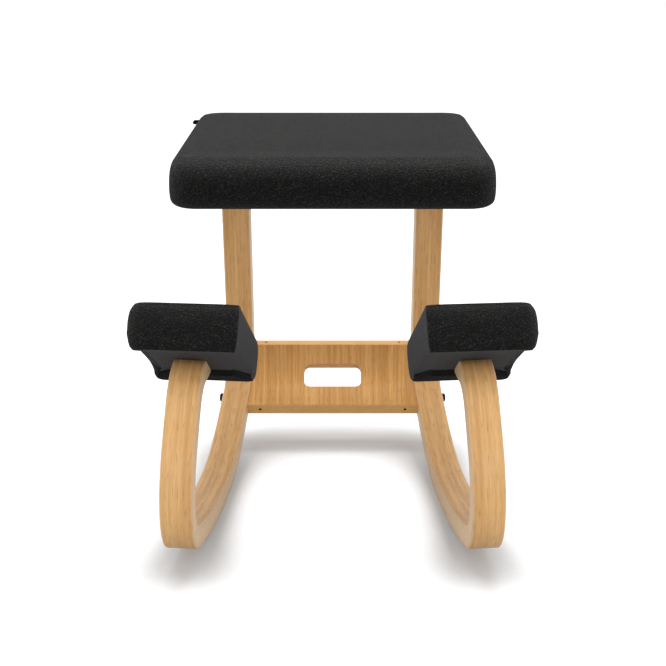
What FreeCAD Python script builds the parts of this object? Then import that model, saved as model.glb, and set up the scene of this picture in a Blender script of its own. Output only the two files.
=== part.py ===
import FreeCAD, Part
import math
import os

# A rocking kneeling chair. Two bent laminated runners start under the knee pads, curl down to
# the floor as rockers, bend up into the legs and turn forward under the seat. A curved plywood
# panel with a hand slot ties the runners together behind. The seat and the knee pads are
# upholstered boards bolted to the runners. The chair rocks as one piece and has no joints.
#
# +Z is up, the chair faces -Y, and the drawing below starts where the rockers touch the floor.
# Headings are degrees from +Y (rearward) towards +Z (upward), in the plane of one runner.

# Runner strip
strip_width = 42.0
strip_thickness = 31.0
strip_edge_radius = 3.0
# From the middle of the chair to the inner face, at the front of the runner and at floor level
runner_half_gap = 178.9
runner_toe_in = 3.73
runner_lean = 1.68

# Runner outline, radii on the outer face of the bends
rocker_rear_radius = 576.0
rocker_rear_angle = 19.5
heel_run = 80.0
heel_radius = 91.0
leg_heading = 112.5
leg_length = 250.0
seat_bend_radius = 101.0
seat_tilt = 3.4
seat_rail_length = 155.0
rocker_front_radius = 1510.0
rocker_front_angle = 12.34
toe_radius = 92.0
front_rise_radius = 130.0
front_rise_angle = 32.0
knee_run = 50.0
knee_bend_radius = 85.0
knee_bend_angle = 57.0
knee_tip_length = 50.0

# What is planed off the runner so that a board lies flat on it
seat_planing = 1.6
knee_planing = 1.0

# Curved panel between the legs
panel_thickness = 18.0
panel_lower_run = 26.0
panel_top_heading = 100.0
panel_edge_radius = 2.0
slot_width = 92.0
slot_height = 39.0
slot_corner_radius = 9.5
slot_heading = 55.0

# Panel fastening: bolt, insert nut in the end of the panel, locking pin from the edge
bolt_diameter = 6.0
bolt_head_diameter = 12.0
bolt_head_height = 3.4
bolt_head_rounding = 2.2
bolt_point_chamfer = 1.0
bolt_socket_size = 4.0
bolt_socket_depth = 2.0
hole_clearance = 0.3
pocket_clearance = 0.6
insert_diameter = 10.0
insert_length = 25.0
bolt_reach_in_insert = 16.0
panel_bolt_inset = 28.0
pin_diameter = 4.4
pin_inset = 20.0
pin_sunk = 0.5
pin_end_gap = 2.0

# Upholstery shared by the seat and the knee pads
cover_thickness = 1.5
board_thickness = 12.0
board_margin = 1.0
hem_width = 24.0
cloth_gap = 0.3
# How fast a corner's radius shrinks as the side is drawn in, and the least share of it left
corner_shrink = 0.6
least_corner_share = 0.3
board_corner_share = 0.5
nut_flange_diameter = 19.0
nut_flange_thickness = 1.5
nut_barrel_diameter = 8.0
nut_barrel_length = 9.0
seat_head_recess = 2.5
knee_head_recess = 4.5
bolt_end_gap = 1.0

# Seat
seat_front_width = 441.0
seat_rear_width = 409.0
seat_depth = 419.0
seat_height = 57.5
seat_corner_radius = 34.0
seat_rear_overhang = 118.0
seat_front_bolt = 125.0
seat_rear_bolt = 30.0

# Knee pads, thinner at the rear because the top slopes more steeply than the underside
pad_width = 148.0
pad_length = 160.0
pad_height = 64.5
pad_wedge = 5.0
pad_front_outer_radius = 18.0
pad_rear_outer_radius = 18.0
pad_rear_inner_radius = 12.0
pad_front_inner_radius = 6.0
pad_slope = 26.5
pad_yaw = 7.6
pad_spread = 183.0
pad_lead = 68.0
pad_front_bolt = 9.0
pad_rear_bolt = 28.0

# Cloth loop on the seat's left side
tab_reach = 7.0
tab_root = 12.0
tab_width = 14.0
tab_fold_height = 5.0
tab_thickness = 1.2
tab_from_rear = 24.0
tab_height_share = 0.86

# Soft edges of a cushion: share of the height, then how far the outer, inner, front and rear
# sides are drawn in there. The pads are most rounded under the outer side.
seat_profile = [
    (0.00, 13.0, 13.0, 8.0, 8.0),
    (0.06, 7.0, 7.0, 3.5, 3.5),
    (0.16, 2.8, 2.8, 1.2, 1.2),
    (0.34, 0.3, 0.3, 0.0, 0.0),
    (0.62, 0.2, 0.2, 0.2, 0.2),
    (0.80, 2.0, 2.0, 2.0, 2.0),
    (0.90, 5.0, 5.0, 5.0, 5.0),
    (0.96, 9.5, 9.5, 9.5, 9.5),
    (0.99, 17.0, 17.0, 17.0, 17.0),
    (1.00, 30.0, 30.0, 30.0, 30.0),
]
pad_profile = [
    (0.00, 26.0, 3.0, 2.0, 8.0),
    (0.08, 15.0, 1.0, 0.6, 3.0),
    (0.20, 6.5, 0.3, 0.1, 0.6),
    (0.36, 1.0, 0.0, 0.0, 0.0),
    (0.60, 0.0, 0.2, 0.2, 0.2),
    (0.78, 1.8, 0.8, 1.2, 2.4),
    (0.90, 5.5, 2.6, 4.0, 7.0),
    (0.96, 10.0, 5.5, 7.5, 12.0),
    (0.99, 17.0, 11.0, 13.5, 20.0),
    (1.00, 28.0, 22.0, 25.0, 32.0),
]

X_AXIS = FreeCAD.Vector(1, 0, 0)
Y_AXIS = FreeCAD.Vector(0, 1, 0)
Z_AXIS = FreeCAD.Vector(0, 0, 1)
ORIGIN = FreeCAD.Vector(0, 0, 0)


def direction(heading):
    angle = math.radians(heading)
    return FreeCAD.Vector(0, math.cos(angle), math.sin(angle))


def walk(start, heading, moves):
    """Follow straight runs and left or right arcs; return the edges' data and the end state."""
    steps = []
    point = start
    for kind, size, turn in moves:
        if kind == "run":
            end = point + direction(heading) * size
            steps.append((kind, point, None, end, heading, heading, size, 0))
        else:
            side = 90 if turn > 0 else -90
            centre = point + direction(heading + side) * size
            middle = centre + direction(heading + turn / 2 - side) * size
            end = centre + direction(heading + turn - side) * size
            steps.append((kind, point, middle, end, heading, heading + turn, size, side))
            heading += turn
        point = end
    return steps, point, heading


def offset_edges(steps, distance):
    """Edges parallel to a walked path, at a distance to the left of the direction of travel."""
    edges = []
    for kind, start, middle, end, first, last, size, side in steps:
        shift_start = direction(first + 90) * distance
        shift_end = direction(last + 90) * distance
        if kind == "run":
            edge = Part.LineSegment(start + shift_start, end + shift_end)
        else:
            shift_middle = direction((first + last) / 2 + 90) * distance
            edge = Part.Arc(start + shift_start, middle + shift_middle, end + shift_end)
        edges.append(edge.toShape())
    return edges


def strip_section(steps, near, far):
    """Closed face between two offsets of one path."""
    near_edges = offset_edges(steps, near)
    far_edges = offset_edges(steps, far)
    first = steps[0]
    last = steps[-1]
    start_shift = direction(first[4] + 90)
    end_shift = direction(last[5] + 90)
    start_cap = Part.makeLine(first[1] + start_shift * near, first[1] + start_shift * far)
    end_cap = Part.makeLine(last[3] + end_shift * near, last[3] + end_shift * far)
    wire = Part.Wire(Part.__sortEdges__(near_edges + [end_cap] + far_edges + [start_cap]))
    return Part.Face(wire)


def seat_bend_turn():
    return 180.0 + seat_tilt - leg_heading


REAR_MOVES = [
    ("arc", rocker_rear_radius, rocker_rear_angle),
    ("run", heel_run, 0),
    ("arc", heel_radius, leg_heading - rocker_rear_angle),
    ("run", leg_length, 0),
    ("arc", seat_bend_radius, seat_bend_turn()),
    ("run", seat_rail_length, 0),
]
FRONT_MOVES = [
    ("arc", rocker_front_radius, -rocker_front_angle),
    ("arc", toe_radius, -(90.0 - rocker_front_angle)),
    ("arc", front_rise_radius, -front_rise_angle),
    ("run", knee_run, 0),
    ("arc", knee_bend_radius, -knee_bend_angle),
    ("run", knee_tip_length, 0),
]
rear_steps, rail_end, rail_heading = walk(ORIGIN, 0.0, REAR_MOVES)
front_steps, knee_end, knee_heading = walk(ORIGIN, 180.0, FRONT_MOVES)
front_reach = -front_steps[1][3].y


def runner_placement():
    """From the plane of a runner, drawn at x = 0, to its inner face on the chair's +X side."""
    turn = FreeCAD.Rotation(Z_AXIS, runner_toe_in)
    lean = FreeCAD.Rotation(Y_AXIS, -runner_lean)
    rotation = turn.multiply(lean)
    at_front = rotation.multVec(FreeCAD.Vector(0, -front_reach, 0))
    base = FreeCAD.Vector(runner_half_gap - at_front.x, 0, 0)
    return FreeCAD.Placement(base, rotation)


RUNNER = runner_placement()


def on_runner(point, across=0.0):
    return RUNNER.multVec(FreeCAD.Vector(across, point.y, point.z))


def frame(origin, x_axis, z_axis):
    """Placement whose local x and z point along the given axes."""
    y_axis = z_axis.cross(x_axis)
    y_axis.normalize()
    x_true = y_axis.cross(z_axis)
    rotation = FreeCAD.Rotation(x_true, y_axis, z_axis, "ZXY")
    return FreeCAD.Placement(origin, rotation)


def placed(shape, placement):
    copy = shape.copy()
    copy.Placement = placement.multiply(copy.Placement)
    return copy


def mirrored(shape):
    return shape.mirror(ORIGIN, X_AXIS)


def rod(base, axis, radius, length):
    return Part.makeCylinder(radius, length, base, axis)


# The seat's own frame: x across, y rearward along the underside, z through the cushion
rail_top = rear_steps[4][3]


def seat_placement():
    lift = direction(90.0 + seat_tilt)
    touch = on_runner(rail_top, strip_width / 2) - lift * seat_planing
    touch.x = 0
    return frame(touch, X_AXIS, lift)


SEAT = seat_placement()


def pad_placement():
    """Frame of the right knee pad: origin on its underside, at the front edge's middle."""
    yaw = FreeCAD.Rotation(Z_AXIS, pad_yaw)
    slope = FreeCAD.Rotation(X_AXIS, -pad_slope)
    rotation = yaw.multiply(slope)
    across = rotation.multVec(X_AXIS)
    along = rotation.multVec(Y_AXIS)
    normal = rotation.multVec(Z_AXIS)
    touch = on_runner(front_steps[4][3], strip_width / 2) - normal * knee_planing
    middle = touch + along * (pad_length / 2 - pad_lead)
    middle = middle + across * ((pad_spread - middle.x) / across.x)
    return FreeCAD.Placement(middle - along * (pad_length / 2), rotation)


PAD = pad_placement()


def socket_bolt(length):
    """Button-head bolt along +z, its shank starting under the head at z = 0."""
    head = rod(ORIGIN, -Z_AXIS, bolt_head_diameter / 2, bolt_head_height)
    head = head.makeFillet(bolt_head_rounding, [lowest_edge(head)])
    shank = rod(ORIGIN, -Z_AXIS, bolt_diameter / 2, length)
    shank = shank.makeChamfer(bolt_point_chamfer, [lowest_edge(shank)])
    shank.rotate(ORIGIN, X_AXIS, 180)
    corner = bolt_socket_size / 2 / math.cos(math.radians(30))
    hexagon = []
    for step in range(7):
        angle = math.radians(60 * step)
        hexagon.append(FreeCAD.Vector(corner * math.cos(angle), corner * math.sin(angle), 0))
    socket = Part.Face(Part.makePolygon(hexagon)).extrude(Z_AXIS * bolt_socket_depth)
    socket.translate(-Z_AXIS * bolt_head_height)
    return head.fuse(shank).cut(socket).removeSplitter()


def lowest_edge(solid):
    return min(solid.Edges, key=lambda edge: edge.CenterOfMass.z)


def tee_nut():
    """Flange at z = 0 to -thickness, barrel hanging below it, bored for the bolt."""
    flange = rod(ORIGIN, -Z_AXIS, nut_flange_diameter / 2, nut_flange_thickness)
    barrel = rod(ORIGIN, -Z_AXIS, nut_barrel_diameter / 2, nut_barrel_length)
    bore = rod(Z_AXIS, -Z_AXIS, bolt_diameter / 2, nut_barrel_length + 2)
    return flange.fuse(barrel).cut(bore).removeSplitter()


def point_on(steps, distance):
    """Point and heading at an arc length along a walked path."""
    for kind, start, middle, end, first, last, size, side in steps:
        turn = last - first
        length = size if kind == "run" else size * math.radians(abs(turn))
        if distance <= length or end == steps[-1][3]:
            if kind == "run":
                return start + direction(first) * distance, first
            centre = start + direction(first + side) * size
            heading = first + turn * distance / length
            return centre + direction(heading - side) * size, heading
        distance -= length


def rounded_outline(corners, radii, height):
    """Closed outline at one height through the corners of a convex polygon, each rounded."""
    points = [FreeCAD.Vector(x, y, height) for x, y in corners]
    count = len(points)
    arcs = []
    for index in range(count):
        corner = points[index]
        before = points[index - 1] - corner
        after = points[(index + 1) % count] - corner
        before.normalize()
        after.normalize()
        half_angle = before.getAngle(after) / 2
        reach = radii[index] / math.tan(half_angle)
        bisector = before + after
        bisector.normalize()
        centre = corner + bisector * (radii[index] / math.sin(half_angle))
        middle = centre - bisector * radii[index]
        arcs.append((corner + before * reach, middle, corner + after * reach))
    edges = []
    for index in range(count):
        edges.append(Part.Arc(*arcs[index]).toShape())
        edges.append(Part.makeLine(arcs[index][2], arcs[(index + 1) % count][0]))
    return Part.Wire(edges)


def drawn_in_plan(cushion, insets, extra):
    """Corners of a cushion's plan: front outer, rear outer, rear inner, front inner."""
    outer, inner, front, rear = [inset + extra for inset in insets]
    half_front = cushion["front_width"] / 2
    half_rear = cushion["rear_width"] / 2
    front_edge = cushion["front"] + front
    rear_edge = cushion["front"] + cushion["length"] - rear
    return [
        (half_front - outer, front_edge),
        (half_rear - outer, rear_edge),
        (inner - half_rear, rear_edge),
        (inner - half_front, front_edge),
    ]


def cushion_body(cushion, skin):
    """Crowned cushion with soft sides; a skin makes it smaller by that much all round."""
    outlines = []
    for share, *insets in cushion["profile"]:
        shrink = corner_shrink * (min(insets) + skin)
        radii = [max(radius - shrink, radius * least_corner_share) for radius in cushion["radii"]]
        level = skin + share * (cushion["height"] - 2 * skin)
        outline = rounded_outline(drawn_in_plan(cushion, insets, skin), radii, level)
        outline.rotate(ORIGIN, X_AXIS, -share * cushion["wedge"])
        outlines.append(outline)
    return Part.makeLoft(outlines, True, False)


def slab(cushion, extra, low, high):
    """Flat plate that keeps a distance from the edge of a cushion's underside."""
    radii = [radius * board_corner_share for radius in cushion["radii"]]
    insets = cushion["profile"][0][1:]
    outline = rounded_outline(drawn_in_plan(cushion, insets, extra), radii, low)
    return Part.Face(outline).extrude(Z_AXIS * (high - low))


def upholstery(cushion, bolt_places):
    """Cover, foam, board, underside cloth and nuts of one cushion, in its own frame."""
    board_low = cover_thickness
    board_high = board_low + board_thickness
    inner = cushion_body(cushion, cover_thickness)
    opening = slab(cushion, hem_width, 0.0, cover_thickness)
    cover = cushion_body(cushion, 0.0).cut(inner).cut(opening)
    board = slab(cushion, cover_thickness + board_margin, board_low, board_high)
    foam = inner.cut(board)
    cloth = slab(cushion, hem_width + cloth_gap, 0.0, cover_thickness)
    nuts = []
    for x, y in bolt_places:
        top = FreeCAD.Vector(x, y, board_high)
        flange_seat = rod(top, -Z_AXIS, nut_flange_diameter / 2, nut_flange_thickness)
        barrel_hole = rod(top, -Z_AXIS, nut_barrel_diameter / 2, nut_barrel_length)
        bolt_hole = rod(top, -Z_AXIS, bolt_diameter / 2 + hole_clearance, board_high + 1)
        board = board.cut(flange_seat).cut(barrel_hole).cut(bolt_hole)
        cloth = cloth.cut(bolt_hole)
        nut = tee_nut()
        nut.translate(top)
        nuts.append(nut)
    return {"cover": cover, "foam": foam, "board": board, "cloth": cloth, "nuts": nuts}


def grip(placement, x, y, solid):
    """Length of a line straight down from a cushion's underside through a runner."""
    top = placement.multVec(FreeCAD.Vector(x, y, cover_thickness))
    foot = placement.multVec(FreeCAD.Vector(x, y, -3 * strip_thickness))
    inside = Part.makeLine(top, foot).common(solid)
    return inside.Edges[0].Length


def drill(solid, placement, x, y, head_level):
    """Bolt hole and head pocket in a runner, under a cushion's underside."""
    radius = bolt_diameter / 2 + hole_clearance
    pocket_radius = bolt_head_diameter / 2 + pocket_clearance
    hole = rod(FreeCAD.Vector(x, y, 1), -Z_AXIS, radius, 3 * strip_thickness)
    pocket = rod(FreeCAD.Vector(x, y, head_level), -Z_AXIS, pocket_radius, strip_thickness)
    return solid.cut(placed(hole, placement)).cut(placed(pocket, placement))


def long_edges(strip):
    """Edges of a runner that run along its path, not those across its width."""
    return [edge for edge in strip.Edges if edge.BoundBox.XLength < strip_width / 2]


def runner_blank():
    """One runner in its own plane, before the boards' seats are planed off."""
    outer = offset_edges(rear_steps, 0.0) + offset_edges(front_steps, 0.0)
    inner = offset_edges(rear_steps, strip_thickness) + offset_edges(front_steps, -strip_thickness)
    rail_shift = direction(rail_heading + 90) * strip_thickness
    knee_shift = direction(knee_heading - 90) * strip_thickness
    caps = [
        Part.makeLine(rail_end, rail_end + rail_shift),
        Part.makeLine(knee_end, knee_end + knee_shift),
    ]
    wire = Part.Wire(Part.__sortEdges__(outer + inner + caps))
    strip = Part.Face(wire).extrude(X_AXIS * strip_width)
    return strip.makeFillet(strip_edge_radius, long_edges(strip))


PANEL_RADIUS = heel_radius - strip_thickness / 2
heel_entry = rear_steps[2][1]
heel_centre = on_runner(heel_entry + direction(rocker_rear_angle + 90) * heel_radius)
heel_centre.x = 0
panel_bend_start = heel_centre + direction(rocker_rear_angle - 90) * PANEL_RADIUS
panel_start = panel_bend_start - direction(rocker_rear_angle) * panel_lower_run
PANEL_MOVES = [
    ("run", panel_lower_run, 0),
    ("arc", PANEL_RADIUS, panel_top_heading - rocker_rear_angle),
]
panel_steps, panel_end, panel_heading = walk(panel_start, rocker_rear_angle, PANEL_MOVES)
panel_length = panel_lower_run + PANEL_RADIUS * math.radians(panel_top_heading - rocker_rear_angle)
runner_normal = RUNNER.Rotation.multVec(X_AXIS)


def on_inner_face(point):
    """The point of the right runner's inner face that has this height and depth."""
    x = (runner_normal.dot(RUNNER.Base) - runner_normal.y * point.y - runner_normal.z * point.z)
    return FreeCAD.Vector(x / runner_normal.x, point.y, point.z)


def beyond_runner():
    """Everything from the right runner's inner face outward."""
    size = 4 * runner_half_gap
    block = Part.makeBox(size, 2 * size, 2 * size, FreeCAD.Vector(0, -size, -size))
    return placed(block, FreeCAD.Placement(on_inner_face(heel_centre), RUNNER.Rotation))


def panel_body():
    section = strip_section(panel_steps, -panel_thickness / 2, panel_thickness / 2)
    section.translate(-X_AXIS * 2 * runner_half_gap)
    panel = section.extrude(X_AXIS * 4 * runner_half_gap)
    outside = beyond_runner()
    panel = panel.cut(outside).cut(mirrored(outside))
    long_ones = [edge for edge in panel.Edges if edge.BoundBox.XLength > runner_half_gap]
    corners = [edge for edge in long_ones if at_panel_edge(edge)]
    panel = panel.makeFillet(panel_edge_radius, corners)
    slot_out = direction(slot_heading - 90)
    middle = heel_centre + slot_out * PANEL_RADIUS
    slot_frame = frame(middle, X_AXIS, slot_out)
    half_width = slot_width / 2
    half_height = slot_height / 2
    corners = [
        (half_width, -half_height),
        (half_width, half_height),
        (-half_width, half_height),
        (-half_width, -half_height),
    ]
    outline = rounded_outline(corners, [slot_corner_radius] * 4, -2 * panel_thickness)
    slot = Part.Face(outline).extrude(Z_AXIS * 4 * panel_thickness)
    return panel.cut(placed(slot, slot_frame))


def at_panel_edge(edge):
    """True for the long edges along the panel's top and bottom faces."""
    middle = edge.CenterOfMass
    for end in (panel_start, panel_end):
        gap = math.hypot(middle.y - end.y, middle.z - end.z)
        if gap < panel_thickness / 2 + 1:
            return True
    return False


def panel_fixings():
    """Holes, bolts, insert nuts and pins at the right-hand end of the panel."""
    holes_in_panel = []
    hole_in_runner = []
    pieces = {}
    reach = panel_bolt_inset - insert_diameter / 2 - pin_end_gap
    edges = (
        ("lower", panel_bolt_inset, panel_start, direction(rocker_rear_angle)),
        ("upper", panel_length - panel_bolt_inset, panel_end, -direction(panel_top_heading)),
    )
    for name, distance, edge_middle, inward in edges:
        place = on_inner_face(point_on(panel_steps, distance)[0])
        outer_face = place + runner_normal * strip_width
        length = strip_width + bolt_reach_in_insert
        bolt = placed(socket_bolt(length), frame(outer_face, Y_AXIS, -runner_normal))
        insert = rod(place, -runner_normal, insert_diameter / 2, insert_length)
        bore = rod(place, -runner_normal, bolt_diameter / 2, insert_length)
        pin_top = on_inner_face(edge_middle) - X_AXIS * pin_inset
        pin = rod(pin_top + inward * pin_sunk, inward, pin_diameter / 2, reach - pin_sunk)
        pin_hole = rod(pin_top - inward, inward, pin_diameter / 2, reach + 1)
        holes_in_panel += [insert, pin_hole]
        hole_start = place - runner_normal
        hole_radius = bolt_diameter / 2 + hole_clearance
        hole_in_runner.append(rod(hole_start, runner_normal, hole_radius, strip_width + 2))
        pieces["panel_bolt_" + name] = bolt
        pieces["panel_insert_" + name] = insert.cut(bore)
        pieces["panel_pin_" + name] = pin
    return holes_in_panel, hole_in_runner, pieces


def folded_profile(half, reach, root):
    """Closed U profile in the x-z plane, its fold at -reach and its open end at the root."""
    upper = FreeCAD.Vector(-reach + half, 0, half)
    lower = FreeCAD.Vector(-reach + half, 0, -half)
    root_upper = FreeCAD.Vector(root, 0, half)
    root_lower = FreeCAD.Vector(root, 0, -half)
    edges = [
        Part.makeLine(root_upper, upper),
        Part.Arc(upper, FreeCAD.Vector(-reach, 0, 0), lower).toShape(),
        Part.makeLine(lower, root_lower),
        Part.makeLine(root_lower, root_upper),
    ]
    return Part.Face(Part.Wire(edges))


def seat_tab(cushion):
    """Folded cloth loop sewn into the left side of the seat cover, near the rear."""
    share = tab_from_rear / cushion["length"]
    widening = cushion["front_width"] - cushion["rear_width"]
    side = (cushion["rear_width"] + widening * share) / 2
    y = cushion["front"] + cushion["length"] - tab_from_rear
    half = tab_fold_height / 2
    outer = folded_profile(half, tab_reach, tab_root)
    inner = folded_profile(half - tab_thickness, tab_reach - tab_thickness, tab_root + 1)
    tab = outer.extrude(Y_AXIS * tab_width).cut(inner.extrude(Y_AXIS * tab_width))
    height = cushion["height"] * tab_height_share
    tab.translate(FreeCAD.Vector(-side, y - tab_width / 2, height))
    return tab.cut(cushion_body(cushion, 0.0))


SEAT_CUSHION = {
    "front_width": seat_front_width,
    "rear_width": seat_rear_width,
    "front": seat_rear_overhang - seat_depth,
    "length": seat_depth,
    "height": seat_height,
    "wedge": 0.0,
    "radii": [seat_corner_radius] * 4,
    "profile": seat_profile,
}
PAD_CUSHION = {
    "front_width": pad_width,
    "rear_width": pad_width,
    "front": 0.0,
    "length": pad_length,
    "height": pad_height,
    "wedge": pad_wedge,
    "radii": [
        pad_front_outer_radius,
        pad_rear_outer_radius,
        pad_rear_inner_radius,
        pad_front_inner_radius,
    ],
    "profile": pad_profile,
}


def seat_bolt_places():
    """Where the rail's middle lies under the seat, in the seat's frame, right side only."""
    places = {}
    for name, distance in (("rear", seat_rear_bolt), ("front", seat_front_bolt)):
        point = on_runner(rail_top + direction(rail_heading) * distance, strip_width / 2)
        local = SEAT.inverse().multVec(point)
        places[name] = (local.x, local.y)
    return places


def pad_bolt_places():
    """Where the runner's tip lies under the right knee pad, in the pad's frame."""
    touch = PAD.inverse().multVec(on_runner(front_steps[4][3], strip_width / 2))
    tip = PAD.inverse().multVec(on_runner(knee_end, strip_width / 2))
    slant = (tip.x - touch.x) / (tip.y - touch.y)
    places = {}
    for name, distance in (("front", pad_front_bolt), ("rear", pad_rear_bolt)):
        places[name] = (touch.x + slant * distance, touch.y + distance)
    return places


def main():
    nodes = {}
    seat_places = seat_bolt_places()
    pad_places = pad_bolt_places()
    both_sides = list(seat_places.values()) + [(-x, y) for x, y in seat_places.values()]
    seat = upholstery(SEAT_CUSHION, both_sides)
    pad = upholstery(PAD_CUSHION, list(pad_places.values()))

    seat_block = Part.makeBox(
        2 * seat_front_width,
        2 * seat_depth,
        seat_height,
        FreeCAD.Vector(-seat_front_width, -seat_depth, 0),
    )
    pad_block = Part.makeBox(
        2 * pad_width,
        2 * pad_length,
        pad_height,
        FreeCAD.Vector(-pad_width, -pad_length / 2, 0),
    )
    runner = placed(runner_blank(), RUNNER)
    runner = runner.cut(placed(seat_block, SEAT)).cut(placed(pad_block, PAD))
    panel_holes, runner_holes, fixings = panel_fixings()
    for hole in runner_holes:
        runner = runner.cut(hole)

    bolts = {}
    solid = runner
    for group, placement, places, recess, base in (
        ("seat", SEAT, seat_places, seat_head_recess, cover_thickness + board_thickness),
        ("knee", PAD, pad_places, knee_head_recess, cover_thickness + board_thickness),
    ):
        for name, (x, y) in places.items():
            level = recess - grip(placement, x, y, solid)
            runner = drill(runner, placement, x, y, level)
            bolt = socket_bolt(base - bolt_end_gap - level)
            bolt.translate(FreeCAD.Vector(x, y, level))
            bolts[group + "_bolt_" + name] = placed(bolt, placement)

    panel = panel_body()
    for hole in panel_holes:
        panel = panel.cut(hole).cut(mirrored(hole))
    nodes["cross_panel"] = panel

    for name, shape in (
        ("runner", runner),
        ("knee_cover", placed(pad["cover"], PAD)),
        ("knee_foam", placed(pad["foam"], PAD)),
        ("knee_board", placed(pad["board"], PAD)),
        ("knee_cloth", placed(pad["cloth"], PAD)),
    ):
        nodes[name + "_right"] = shape
        nodes[name + "_left"] = mirrored(shape)
    for name, shape in list(fixings.items()) + list(bolts.items()):
        nodes[name + "_right"] = shape
        nodes[name + "_left"] = mirrored(shape)
    for name, nut in zip(pad_places, pad["nuts"]):
        nodes["knee_nut_" + name + "_right"] = placed(nut, PAD)
        nodes["knee_nut_" + name + "_left"] = mirrored(placed(nut, PAD))
    sides = ["right"] * len(seat_places) + ["left"] * len(seat_places)
    for name, side, nut in zip(list(seat_places) * 2, sides, seat["nuts"]):
        nodes["seat_nut_" + name + "_" + side] = placed(nut, SEAT)
    for name in ("cover", "foam", "board", "cloth"):
        nodes["seat_" + name] = placed(seat[name], SEAT)
    nodes["seat_tab"] = placed(seat_tab(SEAT_CUSHION), SEAT)

    box = FreeCAD.BoundBox()
    for shape in nodes.values():
        box.add(shape.optimalBoundingBox(True))
    shift = FreeCAD.Vector(-box.Center.x, -box.Center.y, -box.ZMin)
    os.makedirs("parts", exist_ok=True)
    for name, shape in sorted(nodes.items()):
        solid = shape.copy()
        solid.translate(shift)
        if solid.ShapeType == "Compound" and len(solid.Solids) == 1:
            solid = solid.Solids[0]
        solid.exportStep(os.path.join("parts", name + ".step"))
        print(f"{name:28s} solids {len(solid.Solids)} valid {solid.isValid()} "
              f"volume {solid.Volume:12.1f}")
    print(f"size {box.XLength:.1f} x {box.YLength:.1f} x {box.ZLength:.1f}, shift {shift}")


main()
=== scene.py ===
import bpy
import math
import numpy as np
from mathutils import Matrix, Vector


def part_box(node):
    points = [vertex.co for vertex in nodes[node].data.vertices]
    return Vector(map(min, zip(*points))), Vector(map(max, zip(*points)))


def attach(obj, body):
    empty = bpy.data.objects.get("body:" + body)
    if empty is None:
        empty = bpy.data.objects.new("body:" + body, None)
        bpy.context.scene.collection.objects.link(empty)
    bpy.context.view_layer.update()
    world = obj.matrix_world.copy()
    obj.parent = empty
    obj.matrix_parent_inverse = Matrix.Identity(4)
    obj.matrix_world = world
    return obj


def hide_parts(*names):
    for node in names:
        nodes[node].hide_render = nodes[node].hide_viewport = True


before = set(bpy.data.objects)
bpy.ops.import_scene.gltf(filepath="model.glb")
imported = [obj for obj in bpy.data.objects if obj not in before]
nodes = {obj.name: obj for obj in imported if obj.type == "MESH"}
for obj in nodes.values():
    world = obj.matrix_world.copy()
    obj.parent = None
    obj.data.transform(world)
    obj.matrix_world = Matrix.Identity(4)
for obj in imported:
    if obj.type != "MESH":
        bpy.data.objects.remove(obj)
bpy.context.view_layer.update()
MM = 0.001

# Places of the cushions and the runner in the chair's frame, in millimetres and degrees
seat_origin = (0.0, 158.888, 472.217)
seat_tilt = 3.4
pad_origin = (192.469, -305.313, 305.853)
pad_yaw = 7.6
pad_slope = 26.5
runner_origin = (153.2005, 32.19, -0.087)
runner_toe_in = 3.73
runner_lean = 1.68
strip_width = 42.0
strip_thickness = 31.0
veneer_thickness = 3.45

# Runner path: kind, length or radius, turn in degrees; rearward first, then forward
REAR_PATH = (
    ("arc", 576.0, 19.5),
    ("run", 80.0, 0.0),
    ("arc", 91.0, 93.0),
    ("run", 250.0, 0.0),
    ("arc", 101.0, 70.9),
    ("run", 155.0, 0.0),
)
FRONT_PATH = (
    ("arc", 1510.0, -12.34),
    ("arc", 92.0, -77.66),
    ("arc", 130.0, -32.0),
    ("run", 50.0, 0.0),
    ("arc", 85.0, -57.0),
    ("run", 50.0, 0.0),
)
panel_centre = (268.717, 145.374)
panel_radius = 75.5
panel_start_heading = 19.5
panel_start = -26.0
panel_half_length = 65.8

# Cushions, with fuller upper edges than the solids. A profile row gives the share of the height,
# then how far the outer, inner, front and rear sides are drawn in
SEAT = {
    "front_width": 441.0,
    "rear_width": 409.0,
    "front": -301.0,
    "length": 419.0,
    "height": 62.0,
    "wedge": 0.0,
    "crown": 3.0,
    "hem": 24.0,
    "bulge": 2.0,
    "held_below": 16.0,
    "radii": (34.0, 34.0, 34.0, 34.0),
    "profile": (
        (0.00, 9.0, 9.0, 8.0, 8.0),
        (0.05, 4.0, 4.0, 4.0, 3.6),
        (0.14, 1.2, 1.2, 1.4, 1.2),
        (0.30, 0.2, 0.2, 0.1, 0.0),
        (0.45, 0.0, 0.0, 0.4, 0.0),
        (0.62, 0.2, 0.2, 2.6, 0.2),
        (0.76, 0.9, 0.9, 8.0, 0.9),
        (0.87, 2.6, 2.6, 16.0, 2.4),
        (0.94, 5.2, 5.2, 28.0, 4.8),
        (0.98, 10.5, 10.5, 46.0, 9.0),
        (1.00, 26.0, 26.0, 84.0, 24.0),
    ),
    "side_counts": (46, 44),
}
PAD = {
    "front_width": 148.0,
    "rear_width": 148.0,
    "front": 0.0,
    "length": 160.0,
    "height": 64.5,
    "wedge": 5.0,
    "crown": 2.5,
    "hem": 24.0,
    "bulge": 1.2,
    "held_below": 14.0,
    "radii": (18.0, 18.0, 12.0, 6.0),
    "profile": (
        (0.00, 26.0, 3.0, 2.0, 8.0),
        (0.08, 15.0, 1.0, 0.6, 3.0),
        (0.20, 6.5, 0.3, 0.1, 0.6),
        (0.36, 1.0, 0.0, 0.0, 0.0),
        (0.60, 0.0, 0.2, 0.2, 0.2),
        (0.78, 0.6, 0.8, 1.4, 2.4),
        (0.90, 2.4, 2.4, 4.8, 7.0),
        (0.96, 5.2, 5.0, 9.0, 12.0),
        (0.99, 10.5, 9.5, 15.5, 20.0),
        (1.00, 23.0, 21.0, 28.0, 32.0),
    ),
    "side_counts": (40, 34),
}
corner_segments = 10
corner_shrink = 0.6
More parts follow.
